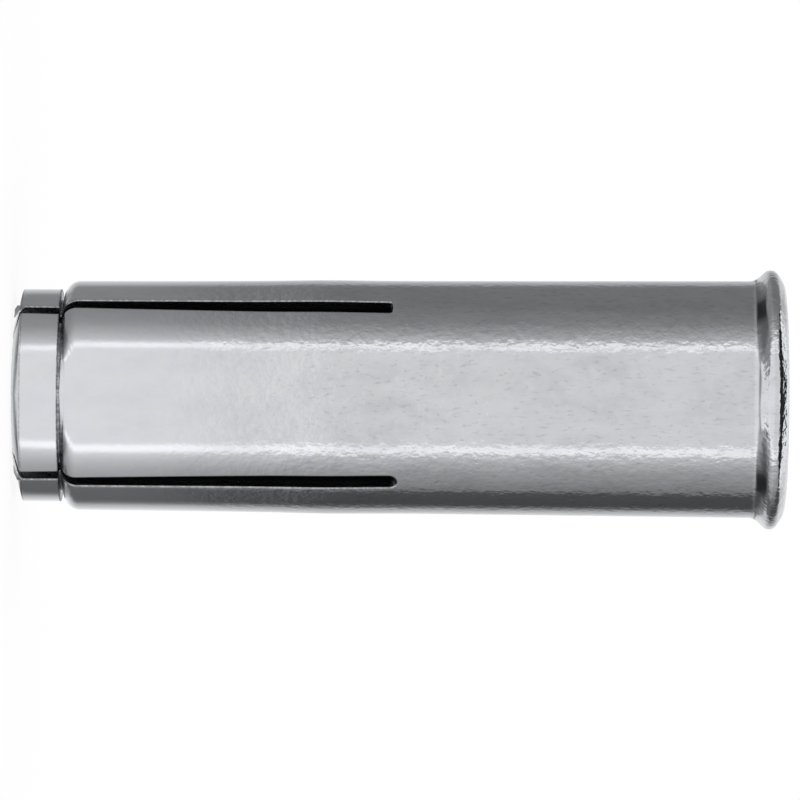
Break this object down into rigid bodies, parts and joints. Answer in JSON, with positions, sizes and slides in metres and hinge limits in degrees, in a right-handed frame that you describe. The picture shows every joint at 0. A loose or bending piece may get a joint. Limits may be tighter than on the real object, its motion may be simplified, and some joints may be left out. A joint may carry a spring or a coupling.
{
  "type": "drop-in anchor",
  "caption": "Drop-in anchor: a lipped steel sleeve with an internal thread and a slotted, grooved expansion end, with a tapered expander plug inside its bore.",
  "frame": {"origin": "centre of the nose face, on the axis of the bore", "axes": "+Z along the bore from the nose up to the threaded mouth; the legs are centred on +X, -X, +Y and -Y"},
  "size_m": [0.027, 0.027, 0.08],
  "materials": {
    "zinc_sleeve": "bright zinc plating with fine dents and streaks",
    "zinc_plug": "zinc plating over turned steel"
  },
  "bodies": {
    "root": {"sleeve": "zinc_sleeve", "expander_plug": "zinc_plug"}
  },
  "joints": []
}
